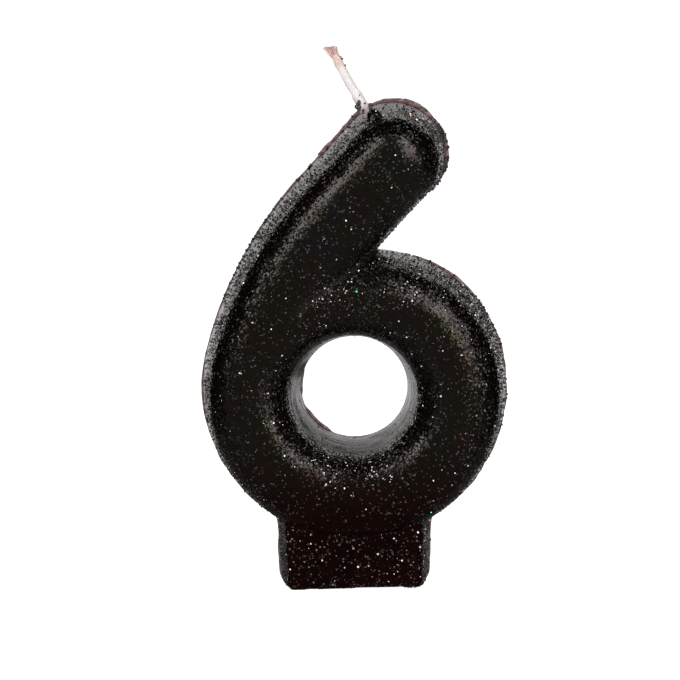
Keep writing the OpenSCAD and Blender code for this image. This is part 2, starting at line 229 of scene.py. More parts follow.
def sole_lift(x, h):
    """How far the front edge of the sole is worn away from the table."""
    return LIFT_PER_MM * np.clip(x + 9, 0, 20) * smooth(2 * h / FOOT_D - 1)


def foot_field(x, z, h):
    """The square foot, with corners that are sharper in front and an edge worn to the right."""
    front = np.clip(h, 0, FOOT_D) / FOOT_D
    half = FOOT_HALF_W - FOOT_DRAFT * front**1.7 + FOOT_FLARE * z / FOOT_TOP
    corner = mix(FOOT_CORNER, FRONT_CORNER, front)
    plan = rounded(np.abs(x) - half, sole_lift(x, h) - z, corner)
    plan = np.maximum(plan, z - FOOT_TOP - FOOT_ROOT)
    worn = LEAST_WORN + WORN_PER_MM * np.clip(x + 10, 0, 20)
    return rounded(plan, h - FOOT_D, worn)


def numeral_field(x, z, h):
    """The whole casting, with a bead of black wax where the wick comes out."""
    arm, bowl = arm_field(x, z, h), bowl_field(x, z, h)
    body = soft_min(arm, bowl, CREASE * smooth((x + 13) / 8))
    body = soft_min(body, foot_field(x, z, h), FOOT_BLEND)
    bead = np.sqrt((x - BEAD_X) ** 2 + (z - BEAD_Z) ** 2 + (h - BEAD_H) ** 2) - BEAD_R
    return soft_min(body, bead, BEAD_BLEND)


def sole_field(x, z, h, top, gap=0.0):
    """The block of bare wax under the foot, up to top. gap is its play inside the black coat."""
    half = SOLE_HALF_W - FOOT_DRAFT * h / FOOT_D - gap
    plan = np.maximum(np.abs(x) - half, z - top)
    return np.maximum(plan, np.maximum(SOLE_BACK + gap - h, h - SOLE_D + gap))


def body_field(p):
    """The black body with its slightly hollow back, and with the bare sole cut out below."""
    x, z, h = p[..., 0], p[..., 1], p[..., 2]
    numeral = numeral_field(x, z, h)
    shrunk = BACK_HOLLOW * smooth((-numeral - HOLLOW_START) / HOLLOW_RUN)
    body = soft_max(numeral, shrunk - h, BACK_EDGE)
    return np.maximum(body, -sole_field(x, z, h, SOLE_TOP))


def core_field(p):
    """The wax inside the black coat, which comes out only at the sole."""
    x, z, h = p[..., 0], p[..., 1], p[..., 2]
    inside = np.maximum(numeral_field(x, z, h) + CORE_DEPTH, CORE_BACK - h)
    inside = np.maximum(inside, CORE_LOW - z)
    sole = sole_field(x, z, h, CORE_SOLE_TOP, SOLE_PLAY)
    sole = np.maximum(sole, sole_lift(x, h) + SOLE_RECESS - z)
    return np.minimum(inside, sole)


# ---- Surfaces from fields -----------------------------------------------------------------------
CUBE = [np.array([i, j, k]) for i in (0, 1) for j in (0, 1) for k in (0, 1)]
CUBE_EDGES = [(a, b) for a in CUBE for b in CUBE if (b - a).sum() == 1 and (b >= a).all()]


def surface_net(field, low, high, step):
    """Points and quads of the surface where field is 0, on a grid of cells of size step."""
    step = np.array(step, float)
    axes = [np.arange(a, b + s, s) for a, b, s in zip(low, high, step)]
    grid = np.stack(np.meshgrid(*axes, indexing="ij"), axis=-1)
    values = field(grid)
    inside = values < 0
    shape = np.array(values.shape) - 1
    count = np.zeros(shape, int)
    for c in CUBE:
        count += inside[tuple(slice(o, o + n) for o, n in zip(c, shape))]
    cells = np.argwhere((count > 0) & (count < 8))
    total, crossings = np.zeros((len(cells), 3)), np.zeros(len(cells))
    for a, b in CUBE_EDGES:
        va, vb = values[tuple((cells + a).T)], values[tuple((cells + b).T)]
        crosses = (va < 0) != (vb < 0)
        t = (va[crosses] / (va[crosses] - vb[crosses]))[:, None]
        total[crosses] += a + t * (b - a)
        crossings[crosses] += 1
    points = np.array(low) + (cells + total / crossings[:, None]) * step
    number = np.full(shape, -1)
    number[tuple(cells.T)] = np.arange(len(cells))
    # a quad round each edge of the grid that passes through the surface
    quads = []
    for axis in range(3):
        one, two = np.eye(3, dtype=int)[(axis + 1) % 3], np.eye(3, dtype=int)[(axis + 2) % 3]
        along = np.eye(3, dtype=int)[axis]
        here = inside[tuple(slice(0, n) for n in shape)]
        there = inside[tuple(slice(o, o + n) for o, n in zip(along, shape))]
        edges = np.argwhere(here != there)
        edges = edges[(edges[:, (axis + 1) % 3] > 0) & (edges[:, (axis + 2) % 3] > 0)]
        ring = [edges - one - two, edges - two, edges, edges - one]
        quad = np.stack([number[tuple(c.T)] for c in ring], axis=1)
        flip = ~inside[tuple(edges.T)]
        quad[flip] = quad[flip][:, ::-1]
        quads.append(quad)
    return points, np.concatenate(quads)


def gradient(field, points, reach=0.02):
    """The way straight out of the surface at each point."""
    g = np.stack(
        [field(points + reach * e) - field(points - reach * e) for e in np.eye(3)], axis=1
    )
    return g / (np.linalg.norm(g, axis=1, keepdims=True) + 1e-12)


def settle(points, quads, field, rounds=3, reach=0.25):
    """Evens the points out over the surface and draws them back onto it."""
    for _ in range(rounds):
        total, count = np.zeros_like(points), np.zeros(len(points))
        for k in range(4):
            a, b = quads[:, k], quads[:, (k + 1) % 4]
            np.add.at(total, a, points[b])
            np.add.at(total, b, points[a])
            np.add.at(count, a, 1)
            np.add.at(count, b, 1)
        points = mix(points, total / count[:, None], 0.6)
        normal = gradient(field, points)
        points = points - normal * np.clip(field(points), -reach, reach)[:, None]
    return points, gradient(field, points)


def row_frame(points):
    """Points of the lying numeral, in the row frame and in metres."""
    return np.stack([points[:, 0], BACK_Y - points[:, 2], points[:, 1]], axis=1) * MM


def add_mesh(name, points, faces, smooth_shading=True):
    """A new object from points in metres."""
    mesh = bpy.data.meshes.new(name)
    mesh.from_pydata(points.tolist(), [], [list(map(int, f)) for f in faces])
    mesh.validate()
    mesh.polygons.foreach_set("use_smooth", [smooth_shading] * len(mesh.polygons))
    mesh.update()
    obj = bpy.data.objects.new(name, mesh)
    bpy.context.scene.collection.objects.link(obj)
    return obj


# ---- Materials ----------------------------------------------------------------------------------
# The size of the cells that hold one fine flake each.
FLAKE_CELL = 0.27


class Look:
    """A procedural material, with short calls to add its nodes."""

    def __init__(self, name, **inputs):
        self.material = bpy.data.materials.new(name)
        self.material.use_nodes = True
        self.tree = self.material.node_tree
        self.shader = self.tree.nodes["Principled BSDF"]
        self.coords = self.tree.nodes.new("ShaderNodeTexCoord").outputs["Object"]
        for key, value in inputs.items():
            self.shader.inputs[key.replace("_", " ")].default_value = value

    def node(self, kind, *links, **settings):
        """A new node. Each link is a socket or a value for the input in its place."""
        made = self.tree.nodes.new("ShaderNode" + kind)
        for key, value in settings.items():
            setattr(made, key, value)
        for k, source in enumerate(links):
            if source is None:
                continue
            if isinstance(source, bpy.types.NodeSocket):
                self.tree.links.new(source, made.inputs[k])
            else:
                made.inputs[k].default_value = source
        return made

    def math(self, operation, a, b=0.0, c=0.0, clamp=False):
        """The result of one operation of the Math node."""
        return self.node("Math", a, b, c, operation=operation, use_clamp=clamp).outputs[0]

    def noise(self, size_mm, detail=3.0, roughness=0.55, coords=None):
        """Noise from 0 to 1 whose largest lumps are about size_mm apart."""
        made = self.node("TexNoise", coords or self.coords)
        made.inputs["Scale"].default_value = 1 / (size_mm * MM)
        made.inputs["Detail"].default_value = detail
        made.inputs["Roughness"].default_value = roughness
        return made.outputs["Fac"]

    def range(self, source, low, high, to_low=0.0, to_high=1.0):
        """to_low where source is low, to_high where it is high, and a smooth step between."""
        made = self.node("MapRange", source, low, high, to_low, to_high)
        made.interpolation_type = "SMOOTHSTEP"
        return made.outputs[0]

    def colour(self, share, first, second):
        """The first colour where share is 0, and the second where it is 1."""
        made = self.node("Mix", data_type="RGBA")
        for key, value in (("Factor", share), ("A", first), ("B", second)):
            socket = [s for s in made.inputs if s.name == key and s.enabled][0]
            if isinstance(value, bpy.types.NodeSocket):
                self.tree.links.new(value, socket)
            else:
                socket.default_value = (*value, 1.0) if key != "Factor" else value
        return [s for s in made.outputs if s.enabled][0]

    def bump(self, height, distance_mm, strength=1.0, normal=None):
        """The normal of a surface raised by height, on top of another normal if one is given."""
        made = self.node("Bump")
        made.inputs["Strength"].default_value = strength
        made.inputs["Distance"].default_value = distance_mm * MM
        self.tree.links.new(height, made.inputs["Height"])
        if normal:
            self.tree.links.new(normal, made.inputs["Normal"])
        return made.outputs[0]

    def to(self, **sources):
        """Links each source to the shader's input of that name."""
        for key, source in sources.items():
            self.tree.links.new(source, self.shader.inputs[key.replace("_", " ")])
        return self


def colour_wax(look, height, normal):
    """Black above and dark red below, with a patchy sheen, and a painted pink tint on the gloss of
    faces turned from the front. Gives the black's colour.
    """
    patches = look.range(look.noise(4.5, detail=6, roughness=0.7), 0.42, 0.58)
    bluish = look.range(look.noise(5.5, detail=6, roughness=0.7), 0.50, 0.62)
    low_down = look.range(height, 22 * MM, 9 * MM)
    # painted reflection colour: the gloss of faces turned from the front is tinted pink, and the
    # front's gloss olive, by which way each face points
    sideways_painted_tint_share = look.range(look.node("SeparateXYZ", normal).outputs["Y"], -0.97, -0.90)
    sheen = look.colour(patches, (0.78, 0.74, 0.48), (0.85, 0.64, 0.54))
    sheen = look.colour(bluish, sheen, (0.72, 0.76, 0.80))
    # painted highlight tint: pink gloss on the faces turned away from the front
    sheen = look.colour(sideways_painted_tint_share, sheen, (1.0, 0.88, 0.85))
    look.to(Specular_Tint=look.colour(low_down, sheen, (1.0, 0.50, 0.42)))
    look.to(Specular_IOR_Level=look.range(height, 8 * MM, 24 * MM, 0.10, 0.5))
    upper = look.colour(patches, (0.0013, 0.0012, 0.0008), (0.0020, 0.0011, 0.0008))
    lower = look.colour(patches, (0.0020, 0.0006, 0.0005), (0.0034, 0.0007, 0.0005))
    return look.colour(low_down, upper, lower)


def fill_with_flakes(look, normal, black):
    """Fine flakes in cells, each with its own tilt. Gives the normal that they leave."""
    share = look.node("Attribute", attribute_name="glitter").outputs["Fac"]
    cells = look.node("TexVoronoi", look.coords)
    cells.inputs["Scale"].default_value = 1 / (FLAKE_CELL * MM)
    parts = look.node("SeparateColor", cells.outputs["Color"])
    chosen = look.math("LESS_THAN", parts.outputs[0], look.math("MULTIPLY", share, 0.75))
    facet = look.math("MULTIPLY", chosen, look.range(cells.outputs["Distance"], 0.52, 0.38))
    # most flakes lie under a film of wax, and only some are bare metal
    bare = look.math("MULTIPLY", facet, look.math("GREATER_THAN", parts.outputs[1], 0.86))
    look.to(Base_Color=look.colour(bare, black, (0.30, 0.275, 0.265)), Metallic=bare)
    # the surface normal, pushed by the cell's random colour
    push = look.node("VectorMath", cells.outputs["Color"], (0.5, 0.5, 0.5), operation="SUBTRACT")
    push = look.node("VectorMath", push.outputs[0], operation="SCALE")
    amount = look.math("MULTIPLY_ADD", facet, 1.0, look.math("MULTIPLY", share, 0.34))
    look.tree.links.new(amount, push.inputs["Scale"])
    tilted = look.node("VectorMath", normal, push.outputs[0], operation="ADD")
    return look.node("VectorMath", tilted.outputs[0], operation="NORMALIZE").outputs[0]


def wax_look():
    """Black wax: glittering where the glitter attribute is high, dull where scuffed is."""
    look = Look("black_glitter_wax", IOR=1.42)
    height = look.node("SeparateXYZ", look.coords).outputs["Z"]
    normal = look.node("NewGeometry").outputs["Normal"]
    black = colour_wax(look, height, normal)
    tilted = fill_with_flakes(look, normal, black)
    # fine lines along the walls, left as the wax was poured and drawn from its mould
    drawn = look.node("VectorMath", look.coords, (1.0, 9.0, 1.0), operation="MULTIPLY").outputs[0]
    lines = look.bump(look.noise(10.0, detail=4, coords=drawn), 0.10, 0.8, tilted)
    ripples = look.bump(look.noise(1.6), 0.05, 0.6, lines)
    look.to(Normal=look.bump(look.noise(0.30, detail=2), 0.035, 0.9, ripples))
    rough = look.range(look.noise(2.2), 0.3, 0.7, 0.11, 0.19)
    scuffed = look.node("Attribute", attribute_name="scuffed").outputs["Fac"]
    look.to(Roughness=look.math("MULTIPLY_ADD", scuffed, 0.40, rough, clamp=True))
    return look.material


def plain_wax_look(name, first, second, rough, mottle_mm=1.2, bump_mm=0.04, **inputs):
    """Wax without glitter, mottled between two colours."""
    look = Look(name, **inputs)
    look.to(Base_Color=look.colour(look.range(look.noise(mottle_mm), 0.35, 0.65), first, second))
    look.to(Roughness=look.range(look.noise(mottle_mm * 0.6), 0.3, 0.7, rough - 0.08, rough + 0.08))
    look.to(Normal=look.bump(look.noise(mottle_mm * 0.35), bump_mm))
    return look.material


def wick_wax_look(name, clear, stained, first, last):
    """Wax on the wick, which turns from clear to stained between two places along the wick."""
    look = Look(name, Subsurface_Weight=0.15, Subsurface_Scale=0.0006, Subsurface_Radius=(1, 1, 1))
    duller = tuple(0.87 * c for c in clear)
    mottled = look.colour(look.range(look.noise(1.2), 0.35, 0.65), clear, duller)
    height = look.node("SeparateXYZ", look.coords).outputs["Z"]
    heights = [(WICK_EXIT + s * WICK_UP)[1] * MM for s in (first, last)]
    share = look.range(height, *heights)
    darker = tuple(0.75 * c for c in stained)
    dirty = look.colour(look.range(look.noise(0.5), 0.4, 0.6), stained, darker)
    look.to(Base_Color=look.colour(share, mottled, dirty))
    look.to(Roughness=look.range(look.noise(0.7), 0.3, 0.7, 0.28, 0.44))
    look.to(Normal=look.bump(look.noise(0.4), 0.04))
    return look.material


def flake_look(name, first, second, rough=0.22):
    """Metal foil, mottled between two colours."""
    look = Look(name, Metallic=1.0)
    look.to(Base_Color=look.colour(look.range(look.noise(0.5), 0.3, 0.7), first, second))
    look.to(Roughness=look.range(look.noise(0.4), 0.3, 0.7, rough - 0.08, rough + 0.14))
    return look.material


def fibre_look(name, clean, tip):
    """Cotton fibres that turn from the clean colour to the tip's along the free wick."""
    look = Look(name, Roughness=0.8)
    height = look.node("SeparateXYZ", look.coords).outputs["Z"]
    top = (WICK_EXIT + WICK_FREE * WICK_UP)[1] * MM
    share = look.range(height, top - 3.0 * MM, top - 1.6 * MM)
    shaded_clean = tuple(0.86 * c for c in clean)
    shaded_tip = tuple(0.8 * c for c in tip)
    streak = look.colour(look.range(look.noise(0.25), 0.3, 0.7), clean, shaded_clean)
    stained = look.colour(look.range(look.noise(0.4), 0.3, 0.7), tip, shaded_tip)
    look.to(Base_Color=look.colour(share, streak, stained))
    look.to(Normal=look.bump(look.noise(0.12), 0.02, 0.5))
    look.shader.inputs["Sheen Weight"].default_value = 0.3
    return look.material


# ---- The black body -----------------------------------------------------------------------------
def on_crest(h):
    """1 on the broad front of the numeral, falling to 0 where the shoulders start."""
    return smooth(h - BOWL_T + 1.0)


def on_foot_front(z, h):
    """Whether a point is on the foot's front face."""
    return (z < FOOT_TOP) & (h > FOOT_D - 0.5)


def eye_reach(x, z):
    """The distance from the middle of the eye, which is 1 at its edge."""
    return np.hypot(x / EYE_HALF_W, (z - BOWL_Z) / EYE_HALF_H)


def glitter_share(points):
    """How thick the glitter lies at each point of the lying numeral, from 0 to 1."""
    x, z, h = points.T
    share = (0.10 + 0.90 * smooth((h - 2.5) / 5.5)) * (1 - 0.3 * on_crest(h))
    share = np.where(on_foot_front(z, h), 0.28, share)
    share = np.where(eye_reach(x, z) < 1.35, 0.12 + 0.88 * smooth((h - WALL_H + 1.2) / 2.2), share)
    share = np.where(h < 0.12, 0.05, share)
    return np.clip(share * (0.85 + 0.3 * value_noise(points, 3.0)), 0, 1)


def scuffing(points):
    """Where the wax has lost its gloss: the foot's side walls and the crease under the arm."""
    x, z, h = points.T
    foot_sides = 0.8 * smooth((np.abs(x) - 8.6) / 0.8) * smooth((11.5 - z) / 1.0)
    apart = np.abs(arm_field(x, z, h) - bowl_field(x, z, h))
    crease = 1.6 * smooth((0.7 - apart) / 0.4) * smooth((x + 10) / 4) * (h > 1)
    return np.maximum(foot_sides, crease)


def flake_share(points):
    """Where flakes lie: thickest below the eye and at the bowl's top, thinnest on the front."""
    x, z, h = points.T
    below_eye = smooth((22 - z) / 2) * smooth((z - 14) / 2.5) * smooth((9 - np.abs(x)) / 4)
    bowl_top = smooth((x + 8) / 3) * smooth((z - 41.5) / 2) * smooth((49 - z) / 3)
    crowded = 1 + 10.0 * below_eye + 5.0 * bowl_top
    share = glitter_share(points) * (1 - 0.72 * on_crest(h)) * crowded
    share = np.where(on_foot_front(z, h), 0.15, share)
    return np.where((z < 0.3) | (h < 0.2), 0, share)


def wall_share(points):
    """Where flakes stand up from the outer walls and shoulders, from 0 to 1."""
    x, z, h = points.T
    outer = (h > 0.4) & (h < WALL_H + 1.8) & (eye_reach(x, z) >= 1.3) & (z > 0.3)
    upper_right = 1.4 * smooth((x - 4) / 6) * smooth((z - 32) / 8) * smooth((54 - z) / 4)
    share = np.where(outer, 0.15 + 0.85 * smooth((h - 1.5) / 5) + upper_right, 0.0)
    return share * (0.6 + 0.4 * value_noise(points, 2.0, 4.4))


def crumb_share(points):
    """Where crumbs of wax stick to the outer walls: mostly round the tip and along the back."""
    x, z, h = points.T
    outer = (h > 0.3) & (h < WALL_H) & (eye_reach(x, z) >= 1.3) & (z > 2)
    round_tip = 3.0 * smooth((x - 8) / 6) * smooth((z - 56) / 6)
    left_of_arm = 0.6 * smooth((-4 - x) / 6) * smooth((z - 34) / 8)
    right_of_bowl = 0.5 * smooth((x - 10) / 5) * smooth((z - 24) / 10)
    near_back = 0.25 + 0.75 * smooth((2.2 - h) / 1.2)
    share = np.where(outer, (0.06 + round_tip + left_of_arm + right_of_bowl) * near_back, 0.0)
    return share * (0.5 + 0.6 * value_noise(points, 2.4, 6.1))


BODY_CELL, QUICK_CELL, CORE_CELL = 0.32, 0.45, 0.55


def make_body():
    """The black casting. Gives the object, and its points, normals and quads in one."""
    low, high = (-23.6, -0.6, -0.5), (23.6, 74.0, 14.2)
    cell = BODY_CELL
    points, quads = surface_net(body_field, low, high, (cell,) * 3)
    points, normals = settle(points, quads, body_field)
    lumps = 0.07 * value_noise(points, 5.0) + 0.035 * value_noise(points, 1.9, 7.3)
    flat = (points[:, 2] < 0.3) | (points[:, 1] < 0.3)
    points = points + normals * np.where(flat, 0.25 * lumps, lumps)[:, None]
    points[:, 1] = np.maximum(points[:, 1], 0)
    body = add_mesh("candle_body", row_frame(points), quads)
    for attribute_name, share in (("glitter", glitter_share), ("scuffed", scuffing)):
        attribute = body.data.attributes.new(attribute_name, "FLOAT", "POINT")
        attribute.data.foreach_set("value", share(points).astype(np.float32))
    body.data.materials.append(wax_look())
    return body, (points, normals, quads)


def make_core():
    """The wax inside, which shows only at the sole."""
    low, high = (-23.4, -0.4, -0.2), (23.4, 73.6, 14.0)
    points, quads = surface_net(core_field, low, high, (CORE_CELL,) * 3)
    points[:, 1] = np.maximum(points[:, 1], 0)
    core = add_mesh("core_wax", row_frame(points), quads)
    look = plain_wax_look("core_wax", (0.030, 0.016, 0.014), (0.050, 0.026, 0.022), 0.45)
    core.data.materials.append(look)
    return core


# ---- The flash: a thin, torn skin of wax left round the back edges ------------------------------
# Its heights above the back, how far inside the edge it starts, and its gap to the table.
FLASH_LOW, FLASH_HIGH, FLASH_ROOT, OFF_TABLE = 0.02, 0.36, 0.35, 0.25


def flash_width(x, z):
    """How far the flash stands out from the back edge at each place."""
    flat = np.stack([x, z, np.zeros_like(x)], axis=-1).reshape(-1, 3)
    ragged = 0.65 * value_noise(flat, 2.6, 3.1) + 0.35 * value_noise(flat, 0.8, 9.4)
    ragged = ragged.reshape(x.shape)
    tip = np.degrees(np.arctan2(z - TIP_C[1], x - TIP_C[0]))
    on_tip = smooth((z - 58) / 5) * smooth((tip + 30) / 20)
    turn = np.degrees(np.arctan2(z - BOWL_Z, x)) % 360
    on_bowl = smooth((turn - 36) / 8) * smooth((68 - turn) / 6) * (z < 52)
    width = 0.20 + 0.24 * on_tip + 0.14 * on_bowl + (0.16 + 0.10 * on_tip) * ragged
    chip = (tip > 60) & (tip < 78) & (z > 66)
    width = np.where(chip, 0.65, width)
    under_arm = (x > 1.5) & (z > 50) & (tip < -35) & (tip > -145)
    width = np.where(under_arm, 0.04, width)
    in_eye = np.hypot(x, z - BOWL_Z) < 9.5
    eye_width = 0.02 + 0.34 * smooth((turn - 200) / 12) * smooth((246 - turn) / 10)
    eye_width = eye_width + 0.22 * smooth((turn - 158) / 10) * smooth((192 - turn) / 8)
    return np.where(in_eye, eye_width, width)


def flash_field(p):
    """A thin rim, level with the back, from just inside its edge to the flash's torn outline."""
    x, z, h = p[..., 0], p[..., 1], p[..., 2]
    edge = numeral_field(x, z, np.full_like(x, 0.05))
    rim = np.maximum(edge - flash_width(x, z), -FLASH_ROOT - edge)
    thin = np.maximum(h - FLASH_HIGH, FLASH_LOW - h)
    return np.maximum(np.maximum(rim, thin), OFF_TABLE - z)


def make_flash():
    """The see-through flash, as one thin closed skin."""
    step = (0.17, 0.17, 0.12)
    points, quads = surface_net(flash_field, (-23.9, -0.3, -0.12), (23.9, 74.2, 0.62), step)
    points[:, 2] = np.maximum(points[:, 2], 0)
    flash = add_mesh("mould_flash", row_frame(points), quads)
    look = plain_wax_look(
        "thin_wax", (0.070, 0.037, 0.035), (0.21, 0.132, 0.127), 0.42, mottle_mm=0.9,
        Subsurface_Weight=0.3, Subsurface_Scale=0.0005, Subsurface_Radius=(1, 1, 1), IOR=1.42,
    )
    flash.data.materials.append(look)
    return flash


# ---- Glitter: hexagonal flakes that stand on the coat -------------------------------------------
FLAKE_THICK = 0.05
FLAKE_KINDS = [  # name, dark and light colour, share of all flakes
    ("silver_flake", (0.14, 0.13, 0.125), (0.42, 0.40, 0.39), 0.60),
    ("rose_flake", (0.13, 0.105, 0.10), (0.38, 0.315, 0.30), 0.385),
    ("green_flake", (0.02, 0.30, 0.10), (0.08, 0.50, 0.20), 0.009),
    ("copper_flake", (0.50, 0.20, 0.07), (0.70, 0.34, 0.14), 0.006),
]


def scatter(points, normals, quads, count, tilt, share):
    """Places on the body, thickest where share is high, with two sideways directions and up."""
    corners = points[quads]
    middle = corners.mean(axis=1)
    area = np.linalg.norm(
        np.cross(corners[:, 2] - corners[:, 0], corners[:, 3] - corners[:, 1]), axis=1
    ) / 2
    odds = area * np.maximum(share(middle), 0)
    picked = rng.choice(len(quads), count, p=odds / odds.sum())
    u, v = rng.random((2, count, 1))
    four = corners[picked]
    at = mix(mix(four[:, 0], four[:, 1], u), mix(four[:, 3], four[:, 2], u), v)
    up = normals[quads[picked]].mean(axis=1)
    up = up + tilt * rng.normal(size=(count, 3))
    up /= np.linalg.norm(up, axis=1, keepdims=True)
    side = np.cross(up, rng.normal(size=(count, 3)))
    side /= np.linalg.norm(side, axis=1, keepdims=True)
    return at, side, np.cross(up, side), up


def off_the_table(points):
    """The points, moved up to the table or forward to the back's plane where they pass them."""
    x, z, h = points.T
    return np.stack([x, np.maximum(z, 0), np.maximum(h, 0)], axis=1)


def make_flakes(name, surface, share, count, width, tilt, proud):
    """Flakes scattered over the body. width is (least, most) across the corners, in mm.

    The more the tilt, the more unevenly they lie, and proud is how far they stand out.
    """
    at, side, over, up = scatter(*surface, count, tilt, share)
    radius = rng.uniform(*width, count)[:, None] / 2
    ring = np.radians(60 * np.arange(6))
    outline = np.cos(ring)[None, :, None] * side[:, None]
    outline = outline + np.sin(ring)[None, :, None] * over[:, None]
    top = (at + proud * up)[:, None] + radius[:, None] * outline
    bottom = top - FLAKE_THICK * up[:, None]
    points = off_the_table(np.concatenate([top, bottom], axis=1).reshape(-1, 3))
    shape = [tuple(range(6)), tuple(range(11, 5, -1))]
    shape += [(k, k + 6, (k + 1) % 6 + 6, (k + 1) % 6) for k in range(6)]
    faces = [[12 * n + k for k in face] for n in range(count) for face in shape]
    flakes = add_mesh(name, row_frame(points), faces, smooth_shading=False)
    for kind in FLAKE_KINDS:
        flakes.data.materials.append(bpy.data.materials[kind[0]])
    kinds = rng.choice(len(FLAKE_KINDS), count, p=[kind[3] for kind in FLAKE_KINDS])
    flakes.data.polygons.foreach_set("material_index", np.repeat(kinds, len(shape)).astype(np.int32))
    return flakes


def make_crumbs(surface, count, width):
    """Small lumps of black wax on the outer walls, which roughen the outline."""
    at, side, over, up = scatter(*surface, count, 0.3, crumb_share)
    near_back = smooth((1.6 - at[:, 2]) / 0.8)
    at = at + up * (flash_width(at[:, 0], at[:, 1]) * near_back)[:, None]
    radius = rng.uniform(*width, count)[:, None, None] / 2
    rings = []
    for level, girth in ((-0.6, 0.7), (0.2, 1.0), (0.85, 0.5)):
        turn = np.radians(60 * np.arange(6))[None, :, None]
        ring = girth * (np.cos(turn) * side[:, None] + np.sin(turn) * over[:, None])
        ring = ring + level * up[:, None]
        rings.append(at[:, None] + radius * ring * rng.uniform(0.75, 1.25, (count, 6, 1)))
    points = off_the_table(np.concatenate(rings, axis=1).reshape(-1, 3))
    shape = tube(np.zeros((3, 6, 3)))[1]
    faces = [[18 * n + k for k in face] for n in range(count) for face in shape]
    crumbs = add_mesh("wax_crumbs", row_frame(points), faces)
    crumbs.data.materials.append(bpy.data.materials["black_glitter_wax"])
    return crumbs


# ---- The wick -----------------------------------------------------------------------------------
def wick_centre(s):
    """The wick's middle line in the lying frame, s from where it leaves the wax."""
    s = np.asarray(s, float)
    bow = 0.13 + 0.2 * smooth((6.5 - s) / 3.5)
    plane = WICK_EXIT + s[..., None] * WICK_UP + bow[..., None] * WICK_ACROSS
    return np.concatenate([plane, np.full(s.shape + (1,), WICK_H)], axis=-1)


def around_wick(s, across, depth):
    """A point beside the wick's middle line: across to the right of it, depth to the front."""
    point = wick_centre(s)
    point[..., :2] += np.asarray(across)[..., None] * WICK_ACROSS
    point[..., 2] += depth
    return point


def tube(rings):
    """Points and faces of a closed tube through rings of points of shape (rings, sides, 3)."""
    n, sides = rings.shape[:2]
    faces = []
    for first in range(0, (n - 1) * sides, sides):
        for i in range(sides):
            a, b = first + i, first + (i + 1) % sides
            faces.append((a, b, b + sides, a + sides))
    faces += [tuple(range(sides))[::-1], tuple(range((n - 1) * sides, n * sides))]
    return rings.reshape(-1, 3), faces


STRAND_OFFSET, STRAND_R = 0.34, 0.27
TWIST_PITCH, FIBRE_PITCH = 3.2, 1.7
FIBRES, FIBRE_RINGS, FIBRE_SIDES = 24, 60, 5
# How long the frayed end is, and how far its fibres fan out to each side.
FRAY, FAN = 3.6, 0.82


def make_strand(index, look):
    """One strand as a twisted bundle of fibres, which fan out and stop unevenly at the tip."""
    all_points, all_faces = [], []
    for fibre in range(FIBRES):
        r = STRAND_R * math.sqrt(rng.random()) * 0.85
        start, thin = rng.uniform(0, 360), rng.uniform(0.06, 0.09)
        fan = rng.uniform(-FAN, FAN)
        end = WICK_FREE - 0.35 - 0.4 * fan - abs(rng.normal(0, 0.14))
        s = np.linspace(0.4, end, FIBRE_RINGS)
        fray = smooth((s - WICK_FREE + FRAY) / FRAY)
        loose = s - WICK_FREE + 0.8 * FRAY
        twisted = np.minimum(s, WICK_FREE - 0.8 * FRAY) + 0.15 * np.maximum(loose, 0)
        strand_turn = np.radians(360 * twisted / TWIST_PITCH + 120 * index)
        fibre_turn = np.radians(360 * twisted / FIBRE_PITCH + start)
        untwist = 1 - 0.5 * fray
        across = STRAND_OFFSET * np.cos(strand_turn) * untwist + r * np.cos(fibre_turn) * untwist
        depth = STRAND_OFFSET * np.sin(strand_turn) * untwist + r * np.sin(fibre_turn) * untwist
        across = across + fan * fray
        width = thin * (1 - 0.15 * fray)
        sides = []
        for a in np.radians(360 / FIBRE_SIDES * np.arange(FIBRE_SIDES)):
            sides.append(around_wick(s, across + width * math.cos(a), depth + width * math.sin(a)))
        points, faces = tube(np.stack(sides, axis=1))
        all_faces += [[k + fibre * len(points) for k in face] for face in faces]
        all_points.append(points)
    strand = add_mesh(f"wick_fibres_{index + 1}", row_frame(np.concatenate(all_points)), all_faces)
    strand.data.materials.append(look)
    return strand


def make_sleeve(name, s, radius, lobes, ragged, look):
    """Wax round the wick: radius at each s, three lobes where it follows the strands."""
    turn = np.radians(np.arange(0, 360, 10))
    rings = []
    for at, r in zip(s, radius):
        strand_turn = math.radians(360 * at / TWIST_PITCH)
        wave = r * (1 + lobes * np.cos(3 * (turn - strand_turn)))
        place = np.full(len(turn), at)
        rings.append(around_wick(place, wave * np.cos(turn), wave * np.sin(turn)))
    points, faces = tube(np.array(rings))
    lumps = np.stack([value_noise(points, 0.9, d) for d in (1.3, 5.7, 8.9)], axis=1)
    points = points + ragged * lumps
    sleeve = add_mesh(name, row_frame(points), faces)
    sleeve.data.materials.append(look)
    return sleeve


SPECKS = [  # place along the wick, place across it, radius
    (9.60, 0.72, 0.20), (9.95, 0.76, 0.13), (8.50, 0.70, 0.15), (3.60, 0.35, 0.12),
    (2.60, -0.30, 0.36), (2.20, -0.72, 0.48), (1.80, -0.80, 0.34), (2.20, 0.45, 0.16),
    (2.95, -0.15, 0.15), (1.35, -0.22, 0.22), (1.05, -0.42, 0.18), (1.55, 1.02, 0.38),
    (1.15, 0.94, 0.34),
]
# How far from the wick's middle the drops sit, on its collar and above, and the collar's end.
COLLAR_REACH, PRIMER_REACH, COLLAR_END = 1.05, 0.72, 3.5


